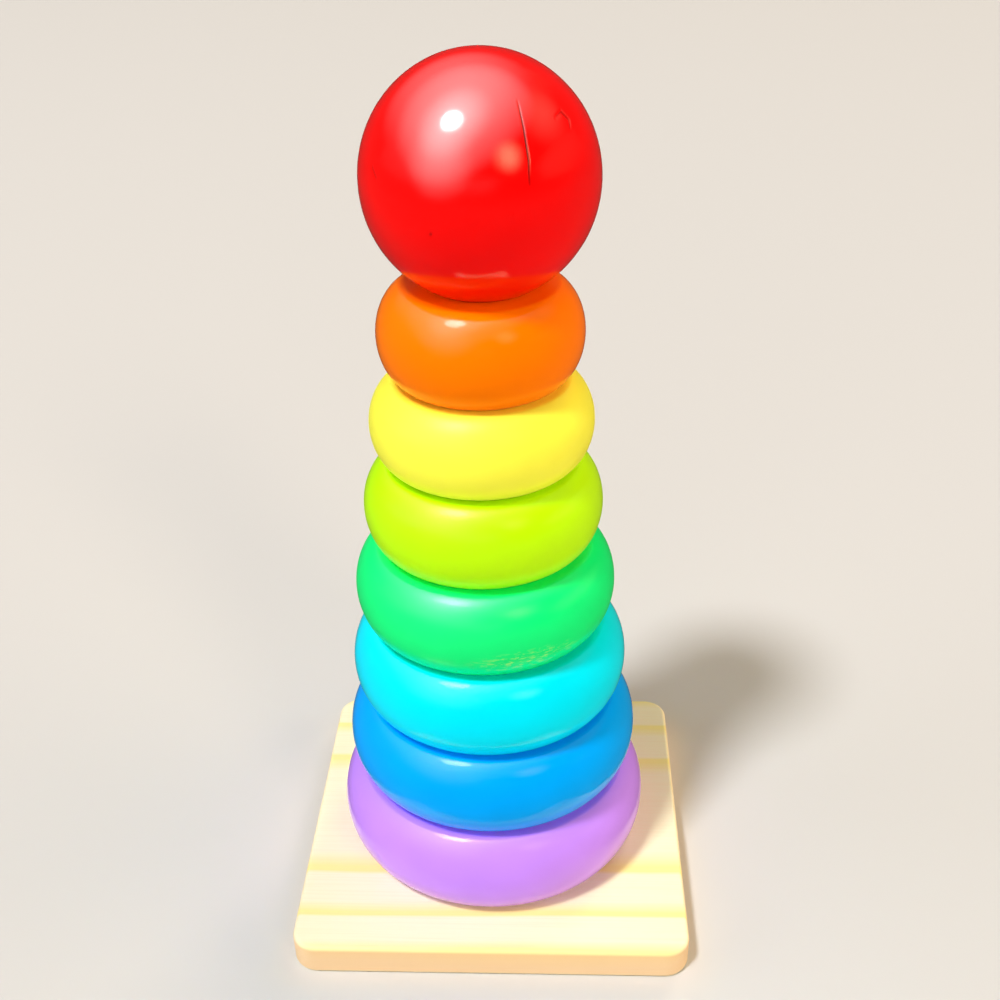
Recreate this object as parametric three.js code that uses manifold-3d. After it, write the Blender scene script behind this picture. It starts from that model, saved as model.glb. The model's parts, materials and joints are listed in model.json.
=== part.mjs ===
// Stacking ring tower: seven turned wooden rings and a ball, threaded on a peg that stands in a board.
// Millimetres, +Z up. The origin is the middle of the board's underside, and -Y is the front.
import * as THREE from "three";
import { mergeVertices } from "three/addons/utils/BufferGeometryUtils.js";
import Module from "manifold-3d";

const wasm = await Module();
wasm.setup();

// The board
const boardWidth = 110;
const boardDepth = 110;
const boardThickness = 9.5;
const boardCornerRadius = 7;
const boardEdgeRadius = 1.2;

// The rings, from the lowest to the highest
const purpleDiameter = 88.5;
const purpleThickness = 25.75;
const blueDiameter = 81.5;
const blueThickness = 24.75;
const skyDiameter = 75.5;
const skyThickness = 24.25;
const greenDiameter = 69.5;
const greenThickness = 24;
const limeDiameter = 62;
const limeThickness = 23.75;
const yellowDiameter = 56.5;
const yellowThickness = 22.25;
const orangeDiameter = 50.5;
const orangeThickness = 24;
const ringSideBulge = 6; // from the rim of a flat seat out to the widest line
const ringSideOverrun = 0.75; // how far a side's oval would run on past the seat that cuts it off
const boreEase = 1.4; // rounding of a bore's rim

// The ball
const ballDiameter = 55;
const ballSeatLand = 2; // width of the flat that is turned on its underside, round its hole
const ballLean = 0.14;

// The peg
const pegDiameter = 19;
const pegReachIntoBall = 18;
const pegTipRounding = 5;
const pegFootChamfer = 0.6;

// The countersunk screw that holds the peg
const screwLength = 30;
const screwHeadDiameter = 8;
const screwHeadHeight = 2.4;
const screwShankDiameter = 4;
const screwTipLength = 5;
const screwSink = 0.4; // how far its head lies above the underside
const screwLand = 1.2; // wood between the countersink and the peg's socket
const screwRecessWidth = 1.3;
const screwRecessSpan = 4.4;
const screwRecessDepth = 1.6;

// Fits
const slidePlay = 1.5; // radial, between the peg and a bore
const tipPlay = 3; // between the peg's tip and the end of the ball's hole
const glueGap = 0.1; // round the peg's tenon and under it
const screwGap = 0.2; // round the screw
const seatGap = 0.05; // between two pieces that rest on each other
const pilotSpare = 1; // depth of the pilot hole past the screw's tip

// Finishes
const boardColour = 0xf6e3ae;
const pegColour = 0xeed9a8;
const ballColour = 0xf01810;
const screwColour = 0xb9bcc0;
const bareWoodRoughness = 0.6;
const paintRoughness = 0.3;
const steelRoughness = 0.35;

// Lean is the sideways rest place of a ring on the peg, as a share of its play there.
const rings = [
  { name: "purple", diameter: purpleDiameter, thickness: purpleThickness, lean: -0.35, colour: 0xb478f0 },
  { name: "blue", diameter: blueDiameter, thickness: blueThickness, lean: -0.22, colour: 0x0a8ef0 },
  { name: "sky", diameter: skyDiameter, thickness: skyThickness, lean: -0.45, colour: 0x12dcf2 },
  { name: "green", diameter: greenDiameter, thickness: greenThickness, lean: -0.85, colour: 0x14d24a },
  { name: "lime", diameter: limeDiameter, thickness: limeThickness, lean: -0.78, colour: 0xb4ea0e },
  { name: "yellow", diameter: yellowDiameter, thickness: yellowThickness, lean: -0.64, colour: 0xfff01e },
  { name: "orange", diameter: orangeDiameter, thickness: orangeThickness, lean: -0.43, colour: 0xff7a08 },
];

// How finely round forms are drawn
const turnSteps = 36;
const screwSteps = 20;
const sideSteps = 10;
const ballLowerSteps = 6;
const ballUpperSteps = 9;
const easeSteps = 2;
const tipSteps = 4;
const cornerSteps = 6;
const edgeSteps = 3;

const pegRadius = pegDiameter / 2;
const boreRadius = pegRadius + slidePlay;
const socketFloor = screwSink + screwHeadHeight + screwLand;
const pegFoot = socketFloor + glueGap;
const cutOverrun = 1; // how far a cutting shape stands out of what it cuts

// Points of a round stretch of a profile, in the half plane of distance from the axis and height.
function arc(centreX, centreY, radiusX, radiusY, fromDegrees, toDegrees, steps) {
  const from = THREE.MathUtils.degToRad(fromDegrees);
  const to = THREE.MathUtils.degToRad(toDegrees);
  return new THREE.EllipseCurve(centreX, centreY, radiusX, radiusY, from, to, to < from).getPoints(steps);
}

// A profile turned about +Z. Seen with the axis on the left, it runs anticlockwise.
function turned(profile, steps = turnSteps) {
  return new THREE.LatheGeometry(profile, steps).rotateX(Math.PI / 2);
}

function point(radius, height) {
  return new THREE.Vector2(radius, height);
}

function solidOf(geometry) {
  const bare = geometry.index ? geometry.toNonIndexed() : geometry.clone();
  bare.deleteAttribute("normal");
  bare.deleteAttribute("uv");
  const merged = mergeVertices(bare);
  const vertProperties = merged.attributes.position.array;
  const triVerts = new Uint32Array(merged.index.array);
  return new wasm.Manifold(new wasm.Mesh({ numProp: 3, vertProperties, triVerts }));
}

function cut(geometry, ...cutters) {
  const whole = solidOf(geometry);
  const left = cutters.reduce((body, cutter) => body.subtract(solidOf(cutter)), whole);
  const mesh = left.getMesh();
  const result = new THREE.BufferGeometry();
  result.setAttribute("position", new THREE.BufferAttribute(mesh.vertProperties, mesh.numProp));
  result.setIndex(new THREE.BufferAttribute(mesh.triVerts, 1));
  result.computeVertexNormals();
  return result;
}

function piece(name, geometry, colour, roughness, metalness = 0) {
  const material = new THREE.MeshStandardMaterial({ color: colour, roughness, metalness });
  const mesh = new THREE.Mesh(geometry, material);
  mesh.name = name;
  return mesh;
}

// The board's outline has round corners, and its top and bottom edges are rounded over.
function boardOutline() {
  const reachX = boardWidth / 2 - boardCornerRadius;
  const reachY = boardDepth / 2 - boardCornerRadius;
  const outline = new THREE.Shape();
  outline.absarc(reachX, reachY, boardCornerRadius, 0, Math.PI / 2);
  outline.absarc(-reachX, reachY, boardCornerRadius, Math.PI / 2, Math.PI);
  outline.absarc(-reachX, -reachY, boardCornerRadius, Math.PI, 1.5 * Math.PI);
  outline.absarc(reachX, -reachY, boardCornerRadius, 1.5 * Math.PI, 2 * Math.PI);
  return outline;
}

// What is cut out of the board from below upwards: countersink, screw hole and the peg's socket.
function boardBore() {
  const headRadius = screwHeadDiameter / 2 + screwGap;
  const shankRadius = screwShankDiameter / 2 + screwGap;
  const socketRadius = pegRadius + glueGap;
  return turned([
    point(0, -cutOverrun),
    point(headRadius, -cutOverrun),
    point(headRadius, screwSink),
    point(shankRadius, screwSink + screwHeadHeight),
    point(shankRadius, socketFloor),
    point(socketRadius, socketFloor),
    point(socketRadius, boardThickness + cutOverrun),
    point(0, boardThickness + cutOverrun),
  ]);
}

function board() {
  const plank = new THREE.ExtrudeGeometry(boardOutline(), {
    depth: boardThickness - 2 * boardEdgeRadius,
    curveSegments: cornerSteps,
    bevelThickness: boardEdgeRadius,
    bevelSize: boardEdgeRadius,
    bevelOffset: -boardEdgeRadius,
    bevelSegments: edgeSteps,
  });
  plank.translate(0, 0, boardEdgeRadius);
  return piece("board", cut(plank, boardBore()), boardColour, bareWoodRoughness);
}

// The peg stands on its socket's floor and has a pilot hole in its foot. Heights are from its foot.
function peg(length) {
  const pilotRadius = screwShankDiameter / 2 + screwGap;
  const pilotEnd = screwSink + screwLength + pilotSpare - pegFoot;
  const rounding = Math.min(pegTipRounding, pegRadius);
  const profile = [
    point(0, pilotEnd),
    point(pilotRadius, pilotEnd),
    point(pilotRadius, 0),
    point(pegRadius - pegFootChamfer, 0),
    point(pegRadius, pegFootChamfer),
    ...arc(pegRadius - rounding, length - rounding, rounding, rounding, 0, 90, tipSteps),
    point(0, length),
  ];
  const mesh = piece("peg", turned(profile), pegColour, bareWoodRoughness);
  mesh.position.z = pegFoot;
  return mesh;
}

// Two crossed slots in the screw's head take the driver. Heights are from the head's face.
function screw() {
  const headRadius = screwHeadDiameter / 2;
  const shankRadius = screwShankDiameter / 2;
  const body = turned(
    [
      point(0, 0),
      point(headRadius, 0),
      point(shankRadius, screwHeadHeight),
      point(shankRadius, screwLength - screwTipLength),
      point(0, screwLength),
    ],
    screwSteps,
  );
  const slotDepth = 2 * screwRecessDepth;
  const slots = [
    new THREE.BoxGeometry(screwRecessSpan, screwRecessWidth, slotDepth),
    new THREE.BoxGeometry(screwRecessWidth, screwRecessSpan, slotDepth),
  ];
  const mesh = piece("peg_screw", cut(body, ...slots), screwColour, steelRoughness, 1);
  mesh.position.z = screwSink;
  return mesh;
}

// A ring's section: flat seats that cut off an oval side at a rim, and a bore with eased rims.
function ring({ name, diameter, thickness, colour }) {
  const middle = thickness / 2;
  const ovalHeight = middle + ringSideOverrun;
  const rimAngle = Math.asin(middle / ovalHeight);
  const ovalReach = ringSideBulge / (1 - Math.cos(rimAngle));
  const ovalCentre = diameter / 2 - ovalReach;
  const rim = THREE.MathUtils.radToDeg(rimAngle);
  const ease = boreRadius + boreEase;
  const profile = [
    ...arc(ease, boreEase, boreEase, boreEase, 180, 270, easeSteps),
    ...arc(ovalCentre, middle, ovalReach, ovalHeight, -rim, rim, sideSteps),
    ...arc(ease, thickness - boreEase, boreEase, boreEase, 90, 180, easeSteps),
  ];
  profile.push(profile[0].clone());
  return piece(`ring_${name}`, turned(profile), colour, paintRoughness);
}

// The ball stands on the rim of a turned flat, and its hole takes the peg's tip.
function ball() {
  const radius = ballDiameter / 2;
  const seatRadius = boreRadius + ballSeatLand;
  const centre = Math.sqrt(radius ** 2 - seatRadius ** 2);
  const seatAngle = -THREE.MathUtils.radToDeg(Math.asin(centre / radius));
  const holeEnd = pegReachIntoBall + tipPlay;
  const ease = Math.min(boreEase, ballSeatLand / 2);
  const profile = [
    point(0, holeEnd),
    point(boreRadius, holeEnd),
    ...arc(boreRadius + ease, ease, ease, ease, 180, 270, easeSteps),
    ...arc(0, centre, radius, radius, seatAngle, 0, ballLowerSteps),
    ...arc(0, centre, radius, radius, 0, 90, ballUpperSteps).slice(1),
  ];
  profile.at(-1).x = 0;
  return piece("ball", turned(profile), ballColour, paintRoughness);
}

const tower = new THREE.Group();
tower.add(board(), screw());

let seatHeight = boardThickness + seatGap;
for (const size of rings) {
  const mesh = ring(size);
  mesh.position.set(size.lean * slidePlay, 0, seatHeight);
  tower.add(mesh);
  seatHeight += size.thickness + seatGap;
}

const topBall = ball();
topBall.position.set(ballLean * slidePlay, 0, seatHeight);
tower.add(topBall);

tower.add(peg(seatHeight + pegReachIntoBall - pegFoot));

export default tower;
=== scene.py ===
# %% [markdown]
# # A stacking ring tower
# Seven painted wooden rings and a painted ball are threaded on a peg that stands in a pine board.
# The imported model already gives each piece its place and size, so this lesson replaces its plain
# solids by finely turned, sanded and painted ones. Everything is in metres, and +Z is up.

# %% Load the frame
import json
import math

import bmesh
import bpy
from mathutils import Matrix, Vector, noise

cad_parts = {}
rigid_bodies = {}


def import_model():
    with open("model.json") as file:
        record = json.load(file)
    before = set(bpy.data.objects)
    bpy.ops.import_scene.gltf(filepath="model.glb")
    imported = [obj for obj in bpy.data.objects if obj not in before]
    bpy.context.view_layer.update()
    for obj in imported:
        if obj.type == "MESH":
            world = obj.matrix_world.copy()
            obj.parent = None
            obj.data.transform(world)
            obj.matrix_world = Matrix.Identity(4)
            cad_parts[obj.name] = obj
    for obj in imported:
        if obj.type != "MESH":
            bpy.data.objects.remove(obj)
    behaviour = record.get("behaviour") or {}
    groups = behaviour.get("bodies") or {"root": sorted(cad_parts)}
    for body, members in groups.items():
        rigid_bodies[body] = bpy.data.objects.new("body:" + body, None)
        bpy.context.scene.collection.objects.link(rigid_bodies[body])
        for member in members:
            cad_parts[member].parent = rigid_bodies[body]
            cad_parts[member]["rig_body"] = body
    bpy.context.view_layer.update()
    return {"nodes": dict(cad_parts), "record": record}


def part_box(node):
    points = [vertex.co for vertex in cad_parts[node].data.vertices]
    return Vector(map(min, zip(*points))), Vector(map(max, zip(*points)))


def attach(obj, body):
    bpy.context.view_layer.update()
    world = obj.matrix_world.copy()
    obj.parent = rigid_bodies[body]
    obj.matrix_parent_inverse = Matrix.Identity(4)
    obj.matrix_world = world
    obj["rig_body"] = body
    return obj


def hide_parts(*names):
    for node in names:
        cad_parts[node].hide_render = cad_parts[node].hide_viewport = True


MM = 0.001
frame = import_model()
slot_of = {part["node"]: part["material_slot"] for part in frame["record"]["subparts"]}
print("Nodes in the frame:", sorted(frame["nodes"]))

# %% [markdown]
# ## The camera
# The toy is photographed from close by and from above, so its ball looks almost as wide as its rings.
# A camera could be placed by eye, but then the taper of the stack is never right. Here its distance,
# height and lens come from matching the outlines of board, rings and ball, and the small upward shift
# only says that the picture is cropped off centre.

# %% Place the camera
VIEW_TARGET = Vector((3.0, -8.4, 96.6)) * MM
VIEW_DISTANCE = 342.1 * MM
VIEW_AZIMUTH = math.radians(2.77)
VIEW_ELEVATION = math.radians(33.93)
VIEW_ROLL = math.radians(-1.3)
LENS_MM = 46.48
FRAME_SHIFT_UP = 0.0916
NEAREST_SEEN = 10 * MM

scene = bpy.context.scene
scene.view_settings.view_transform = "Standard"


def towards(azimuth, elevation):
    """The direction of something seen at these angles from the tower. Azimuth 0 is the front."""
    level = math.cos(elevation)
    return Vector((math.sin(azimuth) * level, -math.cos(azimuth) * level, math.sin(elevation)))


def aimed(direction, roll=0.0):
    """A turn whose +Z axis points along the direction, with +Y upwards."""
    return direction.to_track_quat("Z", "Y").to_matrix().to_4x4() @ Matrix.Rotation(roll, 4, "Z")


def place_camera():
    lens = bpy.data.cameras.new("photo_view")
    lens.lens = LENS_MM
    lens.shift_y = FRAME_SHIFT_UP
    lens.clip_start = NEAREST_SEEN
    camera = bpy.data.objects.new("photo_view", lens)
    scene.collection.objects.link(camera)
    direction = towards(VIEW_AZIMUTH, VIEW_ELEVATION)
    place = VIEW_TARGET + direction * VIEW_DISTANCE
    camera.matrix_world = Matrix.Translation(place) @ aimed(direction, VIEW_ROLL)
    scene.camera = camera
    return camera


print("Camera at, metres:", [round(v, 4) for v in place_camera().matrix_world.translation])

# %% [markdown]
# ## Nodes from code
# Trees of nodes make the finishes, and one also makes the rings. Node by node such code grows long, so
# small helpers add a node with its settings and its links in one call. An input may be a number, a
# vector, or the output of another node.

# %% Helpers for node trees
def add_node(tree, kind, inputs=None, **settings):
    made = tree.nodes.new(kind)
    for name, value in settings.items():
        setattr(made, name, value)
    for key, value in (inputs or {}).items():
        if isinstance(value, bpy.types.NodeSocket):
            tree.links.new(value, made.inputs[key])
        else:
            made.inputs[key].default_value = value
    return made


def maths(tree, operation, first, second=0.0):
    return add_node(tree, "ShaderNodeMath", {0: first, 1: second}, operation=operation).outputs[0]


def vector(tree, x=0.0, y=0.0, z=0.0):
    return add_node(tree, "ShaderNodeCombineXYZ", {"X": x, "Y": y, "Z": z}).outputs[0]


def vector_maths(tree, operation, first, second):
    made = add_node(tree, "ShaderNodeVectorMath", {0: first, 1: second}, operation=operation)
    return made.outputs["Value" if operation in ("LENGTH", "DISTANCE") else "Vector"]


def noise_at(tree, place, scale=1.0, detail=2.0, roughness=0.5):
    inputs = {"Vector": place, "Scale": scale, "Detail": detail, "Roughness": roughness}
    return add_node(tree, "ShaderNodeTexNoise", inputs).outputs["Fac"]


def ranged(tree, value, source, target):
    """A value carried from one range to another, with soft ends."""
    inputs = {"Value": value, "From Min": source[0], "From Max": source[1]}
    inputs.update({"To Min": target[0], "To Max": target[1]})
    made = add_node(tree, "ShaderNodeMapRange", inputs, interpolation_type="SMOOTHSTEP")
    return made.outputs["Result"]


print("Helpers for node trees are ready")

# %% [markdown]
# ## Studio light
# A lacquered toy mirrors its lamps. One set of lamps could give the light and the mirror images together,
# but lamps bright enough for the spots on this toy would flood its colours. So the work is split, and
# these lamps only light it: a key from the front left, a warm second one, and four wide fills. They hang
# far off, so that the floor and lifted rings are lit as evenly as the stack.

# %% Lamps and world
LAMP_DISTANCE = 12.0
LAMP_AIM = Vector((0.0, 0.0, 203 * MM))
WHITE = (1.0, 1.0, 1.0)
WARM = (1.0, 0.80, 0.56)
KEY_AT = (-44.5, 60.9)
SECOND_AT = (33.3, 31.1)
LAMPS = {
    "key": dict(at=KEY_AT, spread=(9, 9), share=0.78, colour=WHITE),
    "second": dict(at=SECOND_AT, spread=(16, 16), share=0.20, colour=WARM),
    "back_fill": dict(at=(150, 38), spread=(24, 24), share=0.36, colour=WARM),
    "front_fill": dict(at=(-5, 10), spread=(50, 16), share=0.26, colour=WHITE),
    "left_fill": dict(at=(-80, 14), spread=(50, 20), share=0.32, colour=WHITE),
    "right_fill": dict(at=(90, 14), spread=(60, 20), share=0.62, colour=WARM),
}
WORLD_COLOUR = (1.0, 0.91, 0.80, 1.0)
WORLD_STRENGTH = 0.06


def hung_lamp(name, at, spread, colour, distance):
    """An oval lamp in a direction and of a width and height, both in degrees as seen from the toy."""
    lamp = bpy.data.lights.new(name, "AREA")
    lamp.shape = "ELLIPSE"
    lamp.size, lamp.size_y = (2 * distance * math.tan(math.radians(angle / 2)) for angle in spread)
    lamp.color = colour
    holder = bpy.data.objects.new(name, lamp)
    holder.visible_camera = False
    scene.collection.objects.link(holder)
    direction = towards(*(math.radians(angle) for angle in at))
    holder.matrix_world = Matrix.Translation(LAMP_AIM + direction * distance) @ aimed(direction)
    return holder


def lighting_lamp(name, at, spread, share, colour):
    """Alone it would light a white surface that faces it to this share of full white."""
    holder = hung_lamp(name, at, spread, colour, LAMP_DISTANCE)
    holder.data.energy = share * (math.pi * LAMP_DISTANCE) ** 2
    holder.visible_glossy = False


def studio_world():
    world = bpy.data.worlds.new("studio")
    world.use_nodes = True
    background = world.node_tree.nodes["Background"]
    background.inputs["Color"].default_value = WORLD_COLOUR
    background.inputs["Strength"].default_value = WORLD_STRENGTH
    scene.world = world


for lamp_name, lamp_setup in LAMPS.items():
    lighting_lamp(lamp_name, **lamp_setup)
studio_world()
print("Lamps:", list(LAMPS))

# %% [markdown]
# ## Panels for the gloss
# The real ball has a hard white spot high on its left, a fainter warm one on its right, and a broad pale
# sheen round both. Bright patches could be painted on, but they would stay in place when the view moves.
# Panels that only the gloss shows make them here. They fade towards their edges, and each hangs a little
# behind the one before, so that none hides another.

# %% Panels
PANEL_DISTANCE = 2.0
PANEL_STEP = 0.05
PANEL_CENTRE = (0.5, 0.5, 0.0)
PANEL_EDGE = 0.5
AMBER = (1.0, 0.72, 0.40)
GLOSS_PANELS = {
    "key_spot": dict(at=KEY_AT, spread=(22, 22), brightness=40.0, middle=0.6, colour=WHITE),
    "key_halo": dict(at=KEY_AT, spread=(66, 80), brightness=8.5, middle=0.0, colour=WHITE),
    "key_glow": dict(at=(-44.5, 68.0), spread=(112, 130), brightness=4.6, middle=0.0, colour=WHITE),
    "second_spot": dict(at=SECOND_AT, spread=(34, 34), brightness=7.7, middle=0.0, colour=AMBER),
    "top_sheen": dict(at=(-115, 68), spread=(120, 110), brightness=1.8, middle=0.0, colour=WHITE),
    "left_sheen": dict(at=(-38, 26), spread=(74, 70), brightness=3.2, middle=0.0, colour=WHITE),
    "right_sheen": dict(at=(100, 44), spread=(60, 50), brightness=1.2, middle=0.0, colour=WARM),
}


def gloss_panel(name, number, at, spread, brightness, middle, colour):
    """A panel that only shows in the gloss. Past its even middle it fades towards its edge."""
    holder = hung_lamp(name, at, spread, colour, PANEL_DISTANCE + number * PANEL_STEP)
    lamp = holder.data
    area = math.pi / 4 * lamp.size * lamp.size_y
    lamp.energy = brightness * math.pi * area
    lamp.use_nodes = True
    tree = lamp.node_tree
    place = add_node(tree, "ShaderNodeNewGeometry").outputs["Parametric"]
    away = vector_maths(tree, "DISTANCE", place, PANEL_CENTRE)
    fade = ranged(tree, away, (middle * PANEL_EDGE, PANEL_EDGE), (1.0, 0.0))
    tree.links.new(fade, tree.nodes["Emission"].inputs["Strength"])
    holder.visible_diffuse = False


for panel_number, (panel_name, panel_setup) in enumerate(GLOSS_PANELS.items(), start=1):
    gloss_panel(panel_name, panel_number, **panel_setup)
print("Panels:", list(GLOSS_PANELS))

# %% [markdown]
# ## Surfaces from loops
# The ball, the peg, the screw and the board can all be seen as a row of closed loops, one above or
# inside the other. A lathe or a stack of extrusions would also do, but one helper that joins loops by
# faces makes all four, closes their poles and turns their faces outwards.

# %% Helpers for meshes
MERGE_DISTANCE = 0.0005 * MM


def sewn(name, rows, round_trip=False):
    """A closed mesh through loops of equally many points. A round trip joins the last to the first."""
    body = bmesh.new()
    loops = [[body.verts.new(point) for point in row] for row in rows]
    pairs = list(zip(loops, loops[1:]))
    if round_trip:
        pairs.append((loops[-1], loops[0]))
    for lower, upper in pairs:
        for here in range(len(lower)):
            after = (here + 1) % len(lower)
            body.faces.new((lower[here], lower[after], upper[after], upper[here]))
    bmesh.ops.remove_doubles(body, verts=body.verts, dist=MERGE_DISTANCE)
    bmesh.ops.recalc_face_normals(body, faces=body.faces)
    mesh = bpy.data.meshes.new(name)
    body.to_mesh(mesh)
    body.free()
    mesh.shade_smooth()
    made = bpy.data.objects.new(name, mesh)
    scene.collection.objects.link(made)
    return made


def arc(centre, radius, start, end, steps):
    """Points of a round stretch of a profile, as pairs of distance from the axis and height."""
    turns = [math.radians(start + (end - start) * i / steps) for i in range(steps + 1)]
    return [(centre[0] + radius * math.cos(t), centre[1] + radius * math.sin(t)) for t in turns]


def line(start, end, steps):
    """Points of a straight stretch of a profile, without its first one."""
    shares = [i / steps for i in range(1, steps + 1)]
    return [(start[0] + (end[0] - start[0]) * s, start[1] + (end[1] - start[1]) * s) for s in shares]


def mark_points(piece, name, share_of):
    """Keeps a number from 0 to 1 on each point, for the material to read."""
    layer = piece.data.attributes.new(name, "FLOAT", "POINT")
    for point, item in zip(piece.data.vertices, layer.data):
        item.value = share_of(point)


def dress(piece, node, material):
    """The piece takes the place, the body and the material slot of a plain solid."""
    piece.data.materials.clear()
    piece.data.materials.append(material)
    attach(piece, frame["nodes"][node]["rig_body"])
    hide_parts(node)
    piece.data.calc_loop_triangles()
    print(piece.name, "has", len(piece.data.loop_triangles), "triangles")


print("Helpers for meshes are ready")

# %% [markdown]
# ## Finishes from nodes
# Paint, wood and steel all start from Blender's all-round shader and a few nodes. Patterns could be
# images, but these need a layout on each piece and blur close up. Computed ones follow the piece's own
# coordinates, so they stay on it when it is lifted. Colours are picked as on a screen and made linear.

# %% Helpers for finishes
# A mix node's colours have the same names as its numbers, so they go by their places.
MIX_FIRST = 6
MIX_SECOND = 7
MIX_RESULT = 2


def linear(colour):
    """A colour as picked from a screen, from 0 to 1, as the light that it stands for."""
    channels = [c / 12.92 if c <= 0.04045 else ((c + 0.055) / 1.055) ** 2.4 for c in colour]
    return (*channels, 1.0)


def new_material(name):
    material = bpy.data.materials.new(name)
    material.use_nodes = True
    tree = material.node_tree
    return material, tree, tree.nodes["Principled BSDF"]


def object_place(tree, scale=(1.0, 1.0, 1.0), shift=(0.0, 0.0, 0.0)):
    place = add_node(tree, "ShaderNodeTexCoord").outputs["Object"]
    inputs = {"Vector": place, "Scale": scale, "Location": shift}
    return add_node(tree, "ShaderNodeMapping", inputs).outputs["Vector"]


def mixed(tree, share, first, second):
    made = add_node(tree, "ShaderNodeMix", {"Factor": share}, data_type="RGBA")
    for key, colour in ((MIX_FIRST, first), (MIX_SECOND, second)):
        if isinstance(colour, bpy.types.NodeSocket):
            tree.links.new(colour, made.inputs[key])
        else:
            made.inputs[key].default_value = colour
    return made.outputs[MIX_RESULT]


def relief(tree, shader, height, depth, strength):
    bump = {"Height": height, "Distance": depth, "Strength": strength}
    tree.links.new(add_node(tree, "ShaderNodeBump", bump).outputs["Normal"], shader.inputs["Normal"])


print("Helpers for finishes are ready")

# %% [markdown]
# ## Painted wood
# The rings and the ball are dipped or sprayed in bright paint. A flat colour with a gloss would look like
# plastic. The paint here varies a little in depth, lets the wood's fibres show as a fine relief along the
# grain, and has a faint orange-peel skin under a thin clear coat. The coats aren't all alike: the ball is
# polished, some rings have a thin or silky coat, and play has worn one dull and scuffed a patch of it.

# %% The paint
CLOUD_SCALE = 55.0
CLOUD_RANGE = (0.2, 0.8)
SHIFT_PER_PIECE = (0.37, 0.11)
FIBRE_SCALE = (90.0, 900.0, 900.0)
PEEL_SCALE = 1400.0
PEEL_SHARE = 0.35
RELIEF_DEPTH = 0.03 * MM
RELIEF_STRENGTH = 0.35
SCUFF_FADE = (0.3, 1.0)
SCRATCH_SCALE = (420.0, 420.0, 1700.0)
SCRATCH_RANGE = (0.52, 0.64)
SCRATCH_SHARE = (0.0, 0.85)
PAINT_ROUGHNESS = (0.42, 0.48)
PAINT_SPECULAR = 0.04
SATIN = {"Coat IOR": 1.25, "Coat Roughness": 0.12}
SILKY = {"Coat IOR": 1.28, "Coat Roughness": 0.24}
SOFT = {"Coat IOR": 1.30, "Coat Roughness": 0.37}
WORN = {"Coat IOR": 1.40, "Coat Roughness": 0.27}
SHEER = {"Coat IOR": 1.23, "Coat Roughness": 0.07}
THIN = {"Coat IOR": 1.19, "Coat Roughness": 0.06}
POLISHED = {"Coat IOR": 1.5, "Coat Roughness": 0.12}
DEEPER = 0.975


def scuffed(tree, coat, centre, reach, colour):
    """Short level scratches in an oval patch, given by its centre and its half sizes."""
    away = vector_maths(tree, "SUBTRACT", object_place(tree), centre)
    length = vector_maths(tree, "LENGTH", vector_maths(tree, "DIVIDE", away, reach), (0.0, 0.0, 0.0))
    patch = ranged(tree, length, SCUFF_FADE, (1.0, 0.0))
    scratches = noise_at(tree, object_place(tree, SCRATCH_SCALE), detail=4.0, roughness=0.65)
    share = maths(tree, "MULTIPLY", patch, ranged(tree, scratches, SCRATCH_RANGE, SCRATCH_SHARE))
    return mixed(tree, share, coat, linear(colour))


def paint(name, colour, seed, gloss=SATIN, scuff=None, groove_shade=None):
    material, tree, shader = new_material(name)
    place = object_place(tree, shift=(*(seed * step for step in SHIFT_PER_PIECE), 0.0))
    cloud = noise_at(tree, place, CLOUD_SCALE)
    deep = linear([c * DEEPER for c in colour])
    coat = mixed(tree, ranged(tree, cloud, CLOUD_RANGE, (0.0, 1.0)), deep, linear(colour))
    if scuff:
        coat = scuffed(tree, coat, **scuff)
    # Painted shade: the ball's grooves are darkened by the amount that each point keeps.
    if groove_shade:
        share = add_node(tree, "ShaderNodeAttribute", attribute_name="groove_shade").outputs["Fac"]
        coat = mixed(tree, share, coat, linear(groove_shade))
    tree.links.new(coat, shader.inputs["Base Color"])
    tree.links.new(ranged(tree, cloud, CLOUD_RANGE, PAINT_ROUGHNESS), shader.inputs["Roughness"])
    shader.inputs["Specular IOR Level"].default_value = PAINT_SPECULAR
    shader.inputs["Specular Tint"].default_value = linear(colour)
    shader.inputs["Coat Weight"].default_value = 1.0
    for socket, value in gloss.items():
        shader.inputs[socket].default_value = value
    fibres = noise_at(tree, object_place(tree, FIBRE_SCALE, (seed, 0.0, 0.0)), detail=3.0)
    peel = noise_at(tree, place, PEEL_SCALE, detail=1.0)
    height = maths(tree, "ADD", fibres, maths(tree, "MULTIPLY", peel, PEEL_SHARE))
    relief(tree, shader, height, RELIEF_DEPTH, RELIEF_STRENGTH)
    return material


print("The relief in the paint is", round(RELIEF_DEPTH / MM, 3), "mm deep")

# %% [markdown]
# Each piece gets its own mix. All could share one material with a colour for each object, but an export
# keeps separate materials better, and gloss and wear differ from piece to piece.

# %% Mix the paints
PAINTS = {
    "ring_purple": {"colour": (0.76, 0.54, 0.98)},
    "ring_blue": {"colour": (0.0, 0.64, 0.99), "gloss": THIN},
    "ring_sky": {"colour": (0.0, 0.89, 0.99), "gloss": THIN},
    "ring_green": {
        "colour": (0.0, 0.96, 0.50),
        "gloss": WORN,
        "scuff": {
            "centre": Vector((11.0, -32.0, 91.5)) * MM,
            "reach": Vector((18.0, 18.0, 4.5)) * MM,
            "colour": (0.62, 0.95, 0.45),
        },
    },
    "ring_lime": {"colour": (0.74, 0.97, 0.0), "gloss": SILKY},
    "ring_yellow": {"colour": (0.98, 0.97, 0.27), "gloss": SOFT},
    "ring_orange": {"colour": (0.99, 0.48, 0.0), "gloss": SHEER},
    # The ball's dark red is painted shade inside its grooves.
    "ball": {"colour": (0.97, 0.0, 0.0), "gloss": POLISHED, "groove_shade": (0.25, 0.0, 0.0)},
}
paints = {}
for paint_seed, (painted_node, look) in enumerate(PAINTS.items()):
    paints[painted_node] = paint(slot_of[painted_node], seed=paint_seed, **look)
print("Paints:", [material.name for material in paints.values()])

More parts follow.
